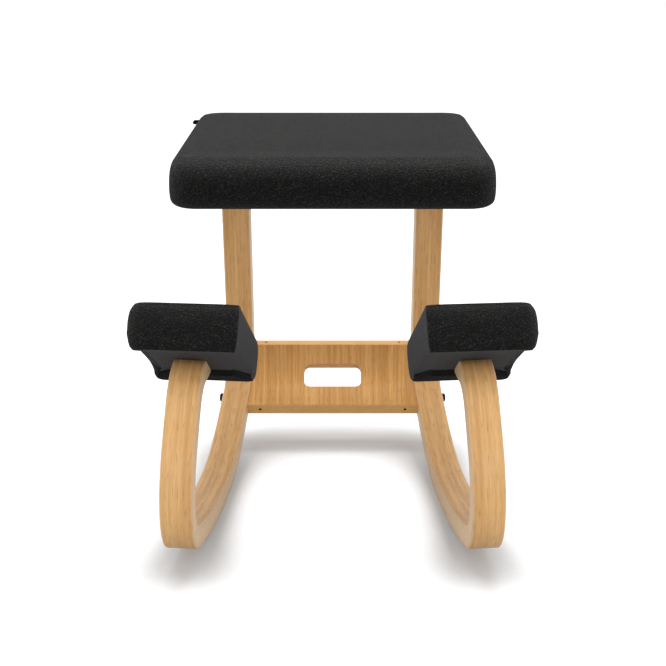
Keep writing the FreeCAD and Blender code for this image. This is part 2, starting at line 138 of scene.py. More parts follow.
least_corner_share = 0.3
profile_rows = 30
hem_rise = 1.2
hem_tuck = 0.3
relaxed_rows = 8
relax_rounds = 60
relax_drop = 1.0
OUTER, REAR, INNER, FRONT, TOP, UNDER = range(6)
MIRROR = Matrix.Diagonal((-1.0, 1.0, 1.0, 1.0))


def placement(origin, yaw=0.0, lean=0.0, tilt=0.0):
    """Matrix from a local frame in millimetres to the chair's frame in metres."""
    turn = Matrix.Rotation(math.radians(yaw), 4, "Z")
    turn = turn @ Matrix.Rotation(math.radians(lean), 4, "Y")
    turn = turn @ Matrix.Rotation(math.radians(tilt), 4, "X")
    return Matrix.Scale(MM, 4) @ Matrix.Translation(origin) @ turn


SEAT_PLACE = placement(seat_origin, tilt=seat_tilt)
PAD_PLACE = placement(pad_origin, yaw=pad_yaw, tilt=-pad_slope)
RUNNER_PLACE = placement(runner_origin, yaw=runner_toe_in, lean=-runner_lean)


# Sockets of a mix node that is set to colours
mix_colour_inputs = (6, 7)
mix_colour_output = 2


class Nodes:
    """Short calls for building one node tree."""

    def __init__(self, tree, shader):
        self.tree = tree
        self.shader = tree.nodes[shader]

    def add(self, kind, **inputs):
        node = self.tree.nodes.new(kind)
        for name, value in inputs.items():
            self.put(node, name.replace("_", " "), value)
        return node

    def put(self, node, socket, value):
        if isinstance(value, bpy.types.NodeSocket):
            self.tree.links.new(value, node.inputs[socket])
        else:
            node.inputs[socket].default_value = value

    def math(self, operation, first, second=None, third=None):
        node = self.tree.nodes.new("ShaderNodeMath")
        node.operation = operation
        for index, value in enumerate((first, second, third)):
            if value is not None:
                self.put(node, index, value)
        return node.outputs[0]

    def split(self, vector):
        return self.add("ShaderNodeSeparateXYZ", Vector=vector).outputs

    def join(self, x, y, z):
        return self.add("ShaderNodeCombineXYZ", X=x, Y=y, Z=z).outputs[0]

    def vector_math(self, operation, first, second):
        node = self.tree.nodes.new("ShaderNodeVectorMath")
        node.operation = operation
        self.put(node, 0, first)
        self.put(node, 1, second)
        return node.outputs[0]

    def noise(self, vector, scale, detail=3.0, roughness=0.5):
        node = self.add("ShaderNodeTexNoise", Vector=vector, Scale=scale, Detail=detail)
        node.inputs["Roughness"].default_value = roughness
        return node.outputs["Fac"]

    def stretched_noise(self, vector, stretch, detail, roughness=0.5):
        return self.noise(self.vector_math("MULTIPLY", vector, stretch), 1.0, detail, roughness)

    def white_noise(self, vector):
        return self.add("ShaderNodeTexWhiteNoise", Vector=vector).outputs["Value"]

    def ramp(self, value, low, high):
        node = self.add("ShaderNodeMapRange", Value=value)
        node.interpolation_type = "SMOOTHSTEP"
        node.inputs["From Min"].default_value = low
        node.inputs["From Max"].default_value = high
        return node.outputs[0]

    def put_colour(self, node, socket, value):
        opaque = value if isinstance(value, bpy.types.NodeSocket) else (*value, 1.0)
        self.put(node, socket, opaque)

    def mix(self, factor, first, second):
        node = self.tree.nodes.new("ShaderNodeMix")
        node.data_type = "RGBA"
        self.put(node, "Factor", factor)
        self.put_colour(node, mix_colour_inputs[0], first)
        self.put_colour(node, mix_colour_inputs[1], second)
        return node.outputs[mix_colour_output]

    def attribute(self, name):
        node = self.tree.nodes.new("ShaderNodeAttribute")
        node.attribute_name = name
        return node.outputs["Vector"]

    def object_places(self):
        return self.tree.nodes.new("ShaderNodeTexCoord").outputs["Object"]

    def seen_directly(self):
        """One on camera, glossy and transmission rays, nought on the others."""
        rays = self.tree.nodes.new("ShaderNodeLightPath").outputs
        seen = self.math("MAXIMUM", rays["Is Camera Ray"], rays["Is Glossy Ray"])
        return self.math("MAXIMUM", seen, rays["Is Transmission Ray"])

    def bump(self, height, strength, distance):
        node = self.add("ShaderNodeBump", Height=height, Strength=strength, Distance=distance)
        self.tree.links.new(node.outputs[0], self.shader.inputs["Normal"])

    def colour(self, value):
        self.put_colour(self.shader, "Base Color", value)

    def set(self, **values):
        for name, value in values.items():
            self.put(self.shader, name.replace("_", " "), value)


def new_material(name):
    material = bpy.data.materials.new(name)
    material.use_nodes = True
    return material, Nodes(material.node_tree, "Principled BSDF")


def toned(colour, gain):
    return [channel * gain for channel in colour]


# Cloth: cell of one fleck as shares of the thread pitch, noise scales per millimetre, relief
fleck_cell = (1.3, 0.9)
patch_scale = 0.06
patch_share = 0.9
patch_least = 0.4
tone_scale = 0.5
tone_gain = 1.6
yarn_stretch = (0.35, 0.5, 1.0)
thread_relief = 0.5
fleck_relief = 0.4
yarn_relief = 3.2
cloth_relief = 0.0009


def woven_cloth(name, dark, light, sharpness, pitch_mm, sheen):
    """Woven cloth: crossing threads, flecks of paler yarn and a soft sheen."""
    material, n = new_material(name)
    weave = n.attribute("weave")
    x, y, _ = n.split(weave)
    turns = math.pi / pitch_mm
    across = n.math("SINE", n.math("MULTIPLY", x, turns))
    along = n.math("SINE", n.math("MULTIPLY", y, turns))
    threads = n.math("ABSOLUTE", n.math("MULTIPLY", across, along))
    cell = (pitch_mm * fleck_cell[0], pitch_mm * fleck_cell[1], 1.0)
    speck = n.white_noise(n.vector_math("SNAP", weave, cell))
    fleck = n.math("POWER", speck, sharpness)
    patches = n.noise(weave, patch_scale, detail=2.0)
    patches = n.math("MULTIPLY_ADD", patches, patch_share, patch_least)
    tone = n.mix(n.noise(weave, tone_scale), dark, toned(dark, tone_gain))
    n.colour(n.mix(n.math("MULTIPLY", fleck, patches), tone, light))
    yarn = n.stretched_noise(weave, yarn_stretch, detail=2.0)
    height = n.math("MULTIPLY", threads, thread_relief)
    height = n.math("MULTIPLY_ADD", speck, fleck_relief, height)
    height = n.math("MULTIPLY_ADD", yarn, yarn_relief, height)
    n.bump(height, strength=0.8, distance=cloth_relief)
    n.set(Roughness=0.95, Sheen_Weight=sheen, Sheen_Roughness=0.5, Specular_IOR_Level=0.12)
    return material


# Veneer noises: scale along, through and across the grain per millimetre, detail and roughness
STREAKS = ((0.0035, 0.55, 0.16), 5.0, 0.6)
BROAD = ((0.0014, 0.08, 0.035), 3.0, 0.55)
FIBRES = ((0.010, 1.1, 0.55), 3.0, 0.65)
PORES = ((0.045, 1.5, 0.95), 2.0, 0.5)
tone_limits = (0.34, 0.66)
fibre_limits = (0.42, 0.66)
pore_limits = (0.56, 0.70)
glue_limits = (0.44, 0.5)
streak_share = 0.6
fibre_share = 0.55
pore_share = 0.55
glue_share = 0.4
layer_share = 0.45
side_share = 0.8
pore_gain = 0.55
fibre_relief = 0.4
wood_relief = 0.0004
streak_roughness = 0.14
wood_roughness = 0.44
coat_share = 0.2


def wood(name, early, late, pale, edge_axis, edge_middle, edge_from, edge_to, gloss):
    """Oak-like veneer: streaks along the grain, fine pores, glued layers on the cut edges."""
    material, n = new_material(name)
    grain = n.attribute("grain")
    places = n.split(grain)
    streaks = n.stretched_noise(grain, *STREAKS)
    broad = n.stretched_noise(grain, *BROAD)
    fibres = n.stretched_noise(grain, *FIBRES)
    pores = n.ramp(n.stretched_noise(grain, *PORES), *pore_limits)
    tone = n.math("MULTIPLY", broad, 1.0 - streak_share)
    tone = n.math("MULTIPLY_ADD", streaks, streak_share, tone)
    body = n.mix(n.ramp(tone, *tone_limits), early, late)
    body = n.mix(n.math("MULTIPLY", n.ramp(fibres, *fibre_limits), fibre_share), body, late)
    layers = n.math("DIVIDE", places[1], veneer_thickness)
    layer_tone = n.white_noise(n.join(n.math("FLOOR", layers), 0.0, 0.0))
    from_layer_middle = n.math("SUBTRACT", n.math("FRACT", layers), 0.5)
    glue = n.ramp(n.math("ABSOLUTE", from_layer_middle), *glue_limits)
    from_middle = n.math("SUBTRACT", places[edge_axis], edge_middle)
    side = n.ramp(n.math("ABSOLUTE", from_middle), edge_from, edge_to)
    side_tone = n.mix(n.math("MULTIPLY", layer_tone, layer_share), pale, body)
    side_tone = n.mix(n.math("MULTIPLY", glue, glue_share), side_tone, late)
    body = n.mix(n.math("MULTIPLY", side, side_share), body, side_tone)
    n.colour(n.mix(n.math("MULTIPLY", pores, pore_share), body, toned(late, pore_gain)))
    height = n.math("SUBTRACT", n.math("MULTIPLY", fibres, fibre_relief), pores)
    n.bump(height, strength=0.16, distance=wood_relief)
    rough = n.math("MULTIPLY_ADD", streaks, streak_roughness, wood_roughness)
    n.set(Roughness=rough, Specular_IOR_Level=gloss)
    n.set(Coat_Weight=gloss * coat_share, Coat_Roughness=0.35)
    return material


# Metal and plain wood, with noise scales per metre
smear_scale = 260.0
smear_gain = 1.35
smear_roughness = 0.2
board_stretch = (220.0, 14.0, 220.0)
board_limits = (0.3, 0.7)
board_relief = 0.0003


def metal(name, colour, metallic, roughness, gloss=0.5):
    """Metal with faint smears that vary its gloss."""
    material, n = new_material(name)
    smears = n.noise(n.object_places(), smear_scale)
    n.colour(n.mix(smears, colour, toned(colour, smear_gain)))
    n.set(Metallic=metallic, Specular_IOR_Level=gloss)
    n.set(Roughness=n.math("MULTIPLY_ADD", smears, smear_roughness, roughness))
    return material


def plain_wood(name, first, second):
    """Wood with streaks between two colours, for boards and pins; the foam takes it too."""
    material, n = new_material(name)
    streaks = n.stretched_noise(n.object_places(), board_stretch, detail=4.0)
    n.colour(n.mix(n.ramp(streaks, *board_limits), first, second))
    n.bump(streaks, strength=0.1, distance=board_relief)
    n.set(Roughness=0.8, Specular_IOR_Level=0.15)
    return material


seat_cloth = woven_cloth(
    "woven_charcoal",
    dark=(0.0006, 0.0005, 0.0005),
    light=(0.040, 0.037, 0.033),
    sharpness=6.8,
    pitch_mm=1.0,
    sheen=0.082,
)
side_cloth = woven_cloth(
    "smooth_grey_cloth",
    dark=(0.034, 0.033, 0.035),
    light=(0.044, 0.043, 0.046),
    sharpness=3.0,
    pitch_mm=0.6,
    sheen=0.09,
)
band_cloth = woven_cloth(
    "black_band_cloth",
    dark=(0.0028, 0.0026, 0.0028),
    light=(0.022, 0.021, 0.020),
    sharpness=6.0,
    pitch_mm=0.9,
    sheen=0.01,
)
lining = woven_cloth(
    "underside_lining",
    dark=(0.020, 0.020, 0.021),
    light=(0.034, 0.034, 0.035),
    sharpness=3.0,
    pitch_mm=0.6,
    sheen=0.05,
)
runner_wood = wood(
    "runner_veneer",
    early=(0.78, 0.465, 0.190),
    late=(0.555, 0.290, 0.098),
    pale=(0.80, 0.57, 0.330),
    edge_axis=2,
    edge_middle=0.0,
    edge_from=strip_width * 0.43,
    edge_to=strip_width * 0.49,
    gloss=0.4,
)
panel_wood = wood(
    "panel_veneer",
    early=(0.80, 0.455, 0.160),
    late=(0.53, 0.265, 0.080),
    pale=(0.74, 0.445, 0.185),
    edge_axis=0,
    edge_middle=panel_half_length + panel_start,
    edge_from=panel_half_length - 0.6,
    edge_to=panel_half_length - 0.2,
    gloss=0.15,
)
bolt_metal = metal("black_bolt", (0.006, 0.006, 0.007), metallic=0.0, roughness=0.55, gloss=0.2)
nut_metal = metal("zinc_plate", (0.55, 0.55, 0.57), metallic=1.0, roughness=0.28)
board_wood = plain_wood("board_ply", (0.52, 0.36, 0.20), (0.40, 0.26, 0.14))
# Pins coloured near black: painted shade of the recessed holes they sit in
pin_wood_painted_hole_shade = plain_wood("pin_wood_painted_hole_shade", (0.022, 0.012, 0.008), (0.010, 0.006, 0.004))
foam_cell = plain_wood("foam_cell", (0.55, 0.52, 0.40), (0.47, 0.44, 0.33))


def dress(obj, material):
    obj.data.materials.clear()
    obj.data.materials.append(material)


def new_object(name, data):
    obj = bpy.data.objects.new(name, data)
    bpy.context.scene.collection.objects.link(obj)
    return obj


def new_mesh(name, points, faces):
    mesh = bpy.data.meshes.new(name)
    mesh.from_pydata([tuple(point) for point in points], [], faces)
    mesh.update()
    return mesh


def add_piece(name, mesh, material, replaced=()):
    """A visible piece on the chair's body, in place of the named CAD solids if there are any."""
    obj = new_object(name, mesh)
    dress(obj, material)
    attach(obj, "root")
    if replaced:
        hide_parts(*replaced)
    return obj


def smooth(mesh, angle):
    for polygon in mesh.polygons:
        polygon.use_smooth = True
    mesh.set_sharp_from_angle(angle=math.radians(angle))


def store_vector(mesh, name, values, domain="POINT"):
    attribute = mesh.attributes.new(name, "FLOAT_VECTOR", domain)
    attribute.data.foreach_set("vector", np.asarray(values, np.float32).ravel())


# Grain along the bent runners and the panel

def heading_vector(degrees):
    angle = math.radians(degrees)
    return np.array((math.cos(angle), math.sin(angle)))


def arc_centre(start, heading, turn, radius):
    """Centre of an arc that leaves a point, and the heading from the centre to that point."""
    side = math.copysign(90.0, turn)
    return start + heading_vector(heading + side) * radius, heading - side


def path_segments(moves, heading, sign):
    """Segments of a walked path: length so far, start, heading, kind, size, turn and sign."""
    point = np.zeros(2)
    travelled = 0.0
    segments = []
    for kind, size, turn in moves:
        segments.append((travelled, point, heading, kind, size, turn, sign))
        if kind == "run":
            point = point + heading_vector(heading) * size
            travelled += size
        else:
            centre, spoke = arc_centre(point, heading, turn, size)
            heading += turn
            point = centre + heading_vector(spoke + turn) * size
            travelled += size * math.radians(abs(turn))
    return segments


# How far past a straight run's ends its lengths still count, in millimetres
run_overlap = 20.0
least_gain = 1e-6
RUNNER_SEGMENTS = path_segments(REAR_PATH, 0.0, 1.0) + path_segments(FRONT_PATH, 180.0, -1.0)


def strip_coordinates(points):
    """Length along the runner, depth from its outer face and place across it, in millimetres."""
    flat = points[:, 1:]
    best = np.full(len(points), np.inf)
    length = np.zeros(len(points))
    depth = np.zeros(len(points))
    for travelled, start, heading, kind, size, turn, sign in RUNNER_SEGMENTS:
        if kind == "run":
            full = size
            walked = (flat - start) @ heading_vector(heading)
            here = np.clip(walked, -run_overlap, full + run_overlap)
            offset = (flat - start) @ heading_vector(heading + 90.0) * sign
        else:
            full = size * math.radians(abs(turn))
            centre, spoke = arc_centre(start, heading, turn, size)
            arm = flat - centre
            angle = np.degrees(np.arctan2(arm[:, 1], arm[:, 0]))
            swept = (angle - spoke) * math.copysign(1.0, turn)
            walked = np.radians((swept + 180.0) % 360.0 - 180.0) * size
            here = walked
            offset = size - np.hypot(arm[:, 0], arm[:, 1])
        beyond = np.maximum(0.0, np.maximum(-walked, walked - full))
        outside = np.abs(offset - strip_thickness / 2) - strip_thickness / 2
        misfit = beyond + np.maximum(0.0, outside)
        nearer = misfit < best - least_gain
        best[nearer] = misfit[nearer]
        length[nearer] = sign * (travelled + here[nearer])
        depth[nearer] = offset[nearer]
    return np.column_stack((length, depth, points[:, 0] - strip_width / 2))


def panel_coordinates(points):
    """Length round the panel's bend, depth through it and place across it, in millimetres."""
    y = points[:, 1] - panel_centre[0]
    z = points[:, 2] - panel_centre[1]
    start = math.radians(panel_start_heading - 90.0)
    straight = y * math.cos(start + math.pi / 2) + z * math.sin(start + math.pi / 2)
    outward = y * math.cos(start) + z * math.sin(start)
    bent = (np.arctan2(z, y) - start) * panel_radius
    lower = straight < 0.0
    length = np.where(lower, straight, bent)
    depth = np.where(lower, outward, np.hypot(y, z)) - panel_radius
    return np.column_stack((length, depth + strip_thickness, points[:, 0]))


def mesh_points(mesh):
    points = np.zeros(len(mesh.vertices) * 3, np.float32)
    mesh.vertices.foreach_get("co", points)
    return points.reshape(-1, 3).astype(float)


def transformed(points, matrix):
    whole = np.array(matrix)
    return points @ whole[:3, :3].T + whole[:3, 3]


def with_grain(node, name, matrix, coordinates, material):
    """A copy of a wooden solid that also carries where each point lies along the grain."""
    mesh = nodes[node].data.copy()
    local = transformed(mesh_points(mesh), matrix.inverted())
    store_vector(mesh, "grain", coordinates(local))
    add_piece(name, mesh, material, (node,))


with_grain("runner_right", "runner_wood_right", RUNNER_PLACE, strip_coordinates, runner_wood)
with_grain("runner_left", "runner_wood_left", MIRROR @ RUNNER_PLACE, strip_coordinates, runner_wood)
with_grain("cross_panel", "panel_wood", Matrix.Scale(MM, 4), panel_coordinates, panel_wood)


# Cushions

def smooth_curve(times, values, samples):
    """Monotone cubic through values at times."""
    step = np.diff(times)[:, None]
    slope = np.diff(values, axis=0) / step
    tangent = np.zeros_like(values)
    tangent[0] = slope[0]
    tangent[-1] = slope[-1]
    same = slope[:-1] * slope[1:] > 0
    mean = 2 * slope[:-1] * slope[1:] / np.where(same, slope[:-1] + slope[1:], 1.0)
    tangent[1:-1] = np.where(same, mean, 0.0)
    index = np.clip(np.searchsorted(times, samples, side="right") - 1, 0, len(times) - 2)
    width = step[index, 0][:, None]
    t = ((samples - times[index]) / width[:, 0])[:, None]
    first = (1 + 2 * t) * (1 - t) ** 2 * values[index] + t * (1 - t) ** 2 * width * tangent[index]
    second = t * t * (3 - 2 * t) * values[index + 1]
    third = t * t * (t - 1) * width * tangent[index + 1]
    return first + second + third


def profile_samples(cushion):
    """Rows of (height, outer, inner, front, rear) from bottom to top, and the way up to each."""
    table = np.array(cushion["profile"])
    table[:, 0] *= cushion["height"]
    step = np.hypot(np.diff(table[:, 0]), np.diff(table[:, 1:].mean(axis=1)))
    times = np.concatenate(([0.0], np.cumsum(step)))
    samples = np.linspace(0.0, times[-1], profile_rows)
    return smooth_curve(times, table, samples), samples


def outline(cushion, insets):
    """Points round the plan, and which side each belongs to, from OUTER to FRONT."""
    outer, inner, front, rear = insets
    half_front = cushion["front_width"] / 2
    half_rear = cushion["rear_width"] / 2
    low = cushion["front"] + front
    high = cushion["front"] + cushion["length"] - rear
    corners = np.array((
        (half_front - outer, low),
        (half_rear - outer, high),
        (inner - half_rear, high),
        (inner - half_front, low),
    ))
    shrink = corner_shrink * min(insets)
    arcs = []
    for index, radius in enumerate(cushion["radii"]):
        radius = max(radius - shrink, radius * least_corner_share)
        before = corners[index - 1] - corners[index]
        after = corners[(index + 1) % 4] - corners[index]
        before = before / np.linalg.norm(before)
        after = after / np.linalg.norm(after)
        half = math.acos(float(before @ after)) / 2
        bisector = (before + after) / np.linalg.norm(before + after)
        centre = corners[index] + bisector * radius / math.sin(half)
        start = corners[index] + before * radius / math.tan(half)
        end = corners[index] + after * radius / math.tan(half)
        first = math.atan2(*(start - centre)[::-1])
        sweep = (math.atan2(*(end - centre)[::-1]) - first + math.pi) % (2 * math.pi) - math.pi
        turns = first + sweep * np.linspace(0.0, 1.0, corner_segments + 1)
        arcs.append(centre + radius * np.column_stack((np.cos(turns), np.sin(turns))))
    points = []
    sides = []
    for index, arc in enumerate(arcs):
        count = cushion["side_counts"][index % 2]
        points.extend(arc)
        middle = corner_segments // 2
        sides.extend([(index - 1) % 4] * middle + [index] * (corner_segments + 1 - middle))
        following = arcs[(index + 1) % 4][0]
        share = np.linspace(0.0, 1.0, count + 1)[1:-1, None]
        points.extend(arc[-1] + (following - arc[-1]) * share)
        sides.extend([index] * (count - 1))
    return np.array(points), np.array(sides)


def patch_grid(ring, cushion):
    """Indices of a ring's points along its four sides, from corner middle to corner middle."""
    middle = corner_segments // 2
    total = len(ring)
    starts = []
    position = 0
    for index in range(4):
        starts.append(position + middle)
        position += corner_segments + cushion["side_counts"][index % 2]
    edges = []
    for index in range(4):
        start = starts[index]
        end = starts[(index + 1) % 4]
        count = (end - start) % total
        edges.append([ring[(start + step) % total] for step in range(count + 1)])
    return edges


def coons(points, edges):
    """Grid of points spanned between the four sides."""
    outer, rear, inner, front = [points[edge] for edge in edges]
    inner = inner[::-1]
    front = front[::-1]
    rows = len(outer)
    columns = len(rear)
    u = np.linspace(0.0, 1.0, rows)[:, None, None]
    v = np.linspace(0.0, 1.0, columns)[None, :, None]
    ruled = (1 - v) * outer[:, None] + v * inner[:, None] + (1 - u) * front[None] + u * rear[None]
    corners = (
        (1 - u) * (1 - v) * outer[0] + u * (1 - v) * outer[-1]
        + (1 - u) * v * inner[0] + u * v * inner[-1]
    )
    return ruled - corners


def no_lift(u, v):
    return 0.0


def close_with_patch(points, faces, sides, ring, cushion, facing_up, lift=no_lift):
    """Fill a ring with a smooth grid; lift gives each inner point its height."""
    edges = patch_grid(ring, cushion)
    grid = coons(np.array(points), edges)
    rows, columns = grid.shape[:2]
    index = np.zeros((rows, columns), int)
    index[:, 0] = edges[0]
    index[-1, :] = edges[1]
    index[:, -1] = edges[2][::-1]
    index[0, :] = edges[3][::-1]
    for i in range(1, rows - 1):
        for j in range(1, columns - 1):
            u = i / (rows - 1)
            v = j / (columns - 1)
            index[i, j] = len(points)
            points.append(grid[i, j] + np.array((0.0, 0.0, lift(u, v))))
    for i in range(rows - 1):
        for j in range(columns - 1):
            quad = [index[i, j], index[i + 1, j], index[i + 1, j + 1], index[i, j + 1]]
            faces.append(quad if facing_up else quad[::-1])
            sides.append(TOP if facing_up else UNDER)


least_span = 1e-9


def even_out(points, ends, values, free, rounds):
    """Average each value with its neighbours', nearer ones counting for more."""
    ends = np.vstack((ends, ends[:, ::-1]))
    spans = np.linalg.norm(points[ends[:, 0]] - points[ends[:, 1]], axis=1)
    pull = 1.0 / np.maximum(spans, least_span)
    shares = np.bincount(ends[:, 0], pull, len(points))
    values = values.copy()
    for _ in range(rounds):
        total = np.bincount(ends[:, 0], pull * values[ends[:, 1]], len(points))
        mean = np.where(shares > 0, total / np.maximum(shares, least_span), values)
        values += 0.5 * free * (mean - values)
    return values


def relax_top(local, faces, first):
    """Ease the heights from the top edge into the crown, so that no ridge shows between them."""
    quads = np.array(faces)
    ends = np.vstack([quads[:, [k, (k + 1) % 4]] for k in range(4)])
    ends = ends[(ends >= first).all(axis=1)]
    free = np.zeros(len(local))
    free[first:] = 1.0
    free[local[:, 2] < local[first, 2] - relax_drop] = 0.0
    eased = local.copy()
    eased[:, 2] = even_out(local, ends, local[:, 2], free, relax_rounds)
    return eased


def cushion_mesh(name, cushion, matrix, reshape=None):
    """Closed cushion: sides from the profile, crowned top, hemmed underside."""
    rows, travel = profile_samples(cushion)
    hem = np.array(cushion["profile"][0][1:]) + cushion["hem"]
    rings = [
        (hem_rise, hem + hem_tuck, -cushion["hem"] - hem_rise),
        (0.0, hem, -cushion["hem"]),
    ]
    hem_rings = len(rings)
    rings += [(row[0], row[1:], length) for row, length in zip(rows, travel)]
    points = []
    faces = []
    sides = []
    runs = []
    wedge = math.radians(cushion["wedge"])
    for height, insets, length in rings:
        plan, side_of = outline(cushion, insets)
        angle = -wedge * height / cushion["height"]
        for x, y in plan:
            points.append(np.array((
                x,
                y * math.cos(angle) - height * math.sin(angle),
                y * math.sin(angle) + height * math.cos(angle),
            )))
            runs.append(length)
    count = len(side_of)
    for ring in range(len(rings) - 1):
        for index in range(count):
            following = (index + 1) % count
            low = ring * count
            high = low + count
            faces.append([low + index, low + following, high + following, high + index])
            sides.append(UNDER if ring < hem_rings else int(side_of[index]))
    last = (len(rings) - 1) * count

    def crown(u, v):
        return cushion["crown"] * (1 - (2 * u - 1) ** 4) * (1 - (2 * v - 1) ** 4)

    close_with_patch(points, faces, sides, list(range(last, last + count)), cushion, True, crown)
    close_with_patch(points, faces, sides, list(range(count)), cushion, False)
    weave = []
    for face, side in zip(faces, sides):
        for vertex in face:
            x, y, _ = points[vertex]
            length = runs[vertex] if vertex < len(runs) else 0.0
            # The third number keeps the patterns of the sides apart
            if side in (OUTER, INNER):
                weave.append((y, length, 1.0))
            elif side in (REAR, FRONT):
                weave.append((x, length, 2.0))
            else:
                weave.append((x, y, 3.0))
    weave = np.array(weave)
    local = relax_top(np.array(points), faces, (len(rings) - relaxed_rows) * count)
    if reshape:
        local = reshape(local)
    if matrix.determinant() < 0:
        faces = [face[::-1] for face in faces]
        weave = weave.reshape(-1, 4, 3)[:, ::-1].reshape(-1, 3)
    mesh = new_mesh(name, transformed(local, matrix), faces)
    store_vector(mesh, "weave", weave, "CORNER")
    return mesh, np.array(sides), local


# Cloth simulation under air pressure
PRESS = {
    "quality": 5,
    "mass": 0.3,
    "use_pressure": True,
    "uniform_pressure_force": 4.0,
    "tension_stiffness": 30.0,
    "compression_stiffness": 30.0,
    "shear_stiffness": 15.0,
    "bending_stiffness": 2.0,
    "vertex_group_mass": "pinned",
}
press_frames = 16
press_even_rounds = 12


def inflate(obj, cushion, local):
    """Press the cover outward with cloth simulation, keep only a small outward part of it."""
    scene = bpy.context.scene
    pinned = local[:, 2] < cushion["held_below"]
    start = mesh_points(obj.data)
    group = obj.vertex_groups.new(name="pinned")
    group.add([int(index) for index in np.nonzero(pinned)[0]], 1.0, "REPLACE")
    modifier = obj.modifiers.new("press", "CLOTH")
    for name, value in PRESS.items():
        setattr(modifier.settings, name, value)
    modifier.settings.effector_weights.gravity = 0.0
    modifier.point_cache.frame_start = 1
    modifier.point_cache.frame_end = press_frames
    for frame_number in range(1, press_frames + 1):
        scene.frame_set(frame_number)
    graph = bpy.context.evaluated_depsgraph_get()
    pressed = mesh_points(obj.evaluated_get(graph).data)
    obj.modifiers.remove(modifier)
    obj.vertex_groups.remove(group)
    scene.frame_set(1)
    normals = np.zeros(len(start) * 3, np.float32)
    obj.data.vertices.foreach_get("normal", normals)
    normals = normals.reshape(-1, 3)
    outward = ((pressed - start) * normals).sum(axis=1)
    outward = np.clip(outward, 0.0, cushion["bulge"] * MM)
    ends = np.zeros(len(obj.data.edges) * 2, np.int32)
    obj.data.edges.foreach_get("vertices", ends)
    free = np.where(pinned, 0.0, 1.0)
    outward = even_out(start, ends.reshape(-1, 2), outward, free, press_even_rounds)
    moved = start + normals * outward[:, None]
    obj.data.vertices.foreach_set("co", moved.astype(np.float32).ravel())
    obj.data.update()


def seat_cushion():
    mesh, _, local = cushion_mesh("seat_cushion", SEAT, SEAT_PLACE)
    smooth(mesh, 50.0)
    seat = add_piece("seat_cushion", mesh, seat_cloth, ("seat_cover", "seat_foam"))
    inflate(seat, SEAT, local)


def ease(value):
    value = np.clip(value, 0.0, 1.0)
    return value * value * (3 - 2 * value)


# Rolls of a knee pad, in millimetres in its own frame: where each starts, over what length it
# comes in, and how far it drops, swells or narrows
roll_height = 26.0
rear_start = 117.0
rear_blend = 16.0
front_end = 24.0
front_blend = 18.0
outer_start = 20.0
outer_blend = 26.0
rear_drop = 8.5
rear_outer_drop = 2.5
front_drop = 2.5
front_swell = 20.5
front_swell_fade = 11.5
front_swell_cut = 1.8
front_swell_limit = 18.0
rear_swell = 9.0
rear_swell_height = 6.0
waist_depth = 6.5
waist_height = 15.0
waist_spread = 8.0


def pad_lobes(local):
    """Fuller rolls at the front and rear of a knee pad, as its cover is pulled in between."""
    moved = local.copy()
    x, y, z = local.T
    low = np.clip(1.0 - z / roll_height, 0.0, 1.0)
    rear = ease((y - rear_start) / rear_blend)
    front = ease((front_end - y) / front_blend)
    outer = ease((x - outer_start) / outer_blend)
    moved[:, 2] -= low * (rear * (rear_drop + rear_outer_drop * outer) + front_drop * front)
    swell = front_swell * np.exp(-z / front_swell_fade) - front_swell_cut
    waist = np.exp(-(((z - waist_height) / waist_spread) ** 2))
    moved[:, 0] += outer * front * np.clip(swell, 0.0, front_swell_limit)
    moved[:, 0] += outer * rear * rear_swell * np.clip(1.0 - z / rear_swell_height, 0.0, 1.0)
    moved[:, 0] -= outer * rear * waist_depth * waist
    return moved


# Black band under a knee pad's rear edge: where it starts and how far it reaches inward
band_start = 119.0
band_inner_end = -64.0
side_slot = 1
band_slot = 2


def knee_pad(side, matrix):
    name = "knee_pad_" + side
    mesh, sides, local = cushion_mesh(name, PAD, matrix, pad_lobes)
    smooth(mesh, 40.0)
    replaced = ("knee_cover_" + side, "knee_foam_" + side)
    pad = add_piece(name, mesh, seat_cloth, replaced)
    mesh.materials.append(side_cloth)
    mesh.materials.append(band_cloth)
    for polygon, part in zip(mesh.polygons, sides):
        x, y, _ = local[list(polygon.vertices)].mean(axis=0)
        if part == UNDER and y > band_start and x > band_inner_end:
            polygon.material_index = band_slot
        elif part in (UNDER, INNER):
            polygon.material_index = side_slot
    inflate(pad, PAD, local)


seat_cushion()
knee_pad("right", PAD_PLACE)
knee_pad("left", MIRROR @ PAD_PLACE)

lining_heights = (0.02, 1.0)
lining_gap = 0.15


def lining_sheet(name, cushion, matrix, material, replaced):
    """Thin cloth under the board, set inside the hem."""
    insets = np.array(cushion["profile"][0][1:]) + cushion["hem"] + lining_gap
    plan, _ = outline(cushion, insets)
    points = []
    faces = []
    count = len(plan)
    for height in lining_heights:
        points.extend(np.array((x, y, height)) for x, y in plan)
    for index in range(count):
        following = (index + 1) % count
        faces.append([index, following, count + following, count + index])
    sides = []
    close_with_patch(points, faces, sides, list(range(count, 2 * count)), cushion, True)
    close_with_patch(points, faces, sides, list(range(count)), cushion, False)
    local = np.array(points)
    if matrix.determinant() < 0:
        faces = [face[::-1] for face in faces]
    mesh = new_mesh(name, transformed(local, matrix), faces)
    store_vector(mesh, "weave", local)
    smooth(mesh, 30.0)
    add_piece(name, mesh, material, replaced)


lining_sheet("seat_lining", SEAT, SEAT_PLACE, lining, ("seat_cloth",))
lining_sheet("knee_lining_right", PAD, PAD_PLACE, side_cloth, ("knee_cloth_right",))
lining_sheet("knee_lining_left", PAD, MIRROR @ PAD_PLACE, side_cloth, ("knee_cloth_left",))


loop_thickness = 2.1
loop_bend = 1.5
loop_bend_steps = 12
loop_sewn_in = 3.0
loop_columns = 9
loop_narrowing = 0.04


